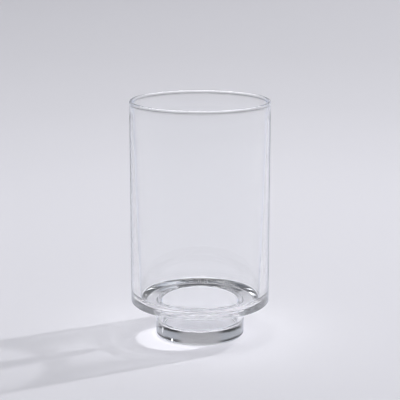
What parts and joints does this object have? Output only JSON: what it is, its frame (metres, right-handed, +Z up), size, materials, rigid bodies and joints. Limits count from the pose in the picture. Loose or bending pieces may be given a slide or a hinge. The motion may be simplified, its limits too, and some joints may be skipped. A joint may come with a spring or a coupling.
{
  "type": "vase",
  "caption": "Clear glass cylinder vase, open at the top, with a rounded rim, whose inside steps down through a shoulder into a smaller thick-bottomed round foot.",
  "frame": {"origin": "centre of the foot's resting face", "axes": "+Z up along the vase's axis of symmetry, towards the open rim; X and Y are arbitrary on this turned shape"},
  "size_m": [0.1, 0.1, 0.1716],
  "materials": {
    "body_glass": "clear colourless glass, fire polished",
    "foot_glass": "clear colourless thick glass, polished",
    "bond_film": "clear cured adhesive"
  },
  "bodies": {
    "root": {"glass_body": "body_glass", "bond_film": "bond_film", "glass_foot": "foot_glass"}
  },
  "joints": []
}
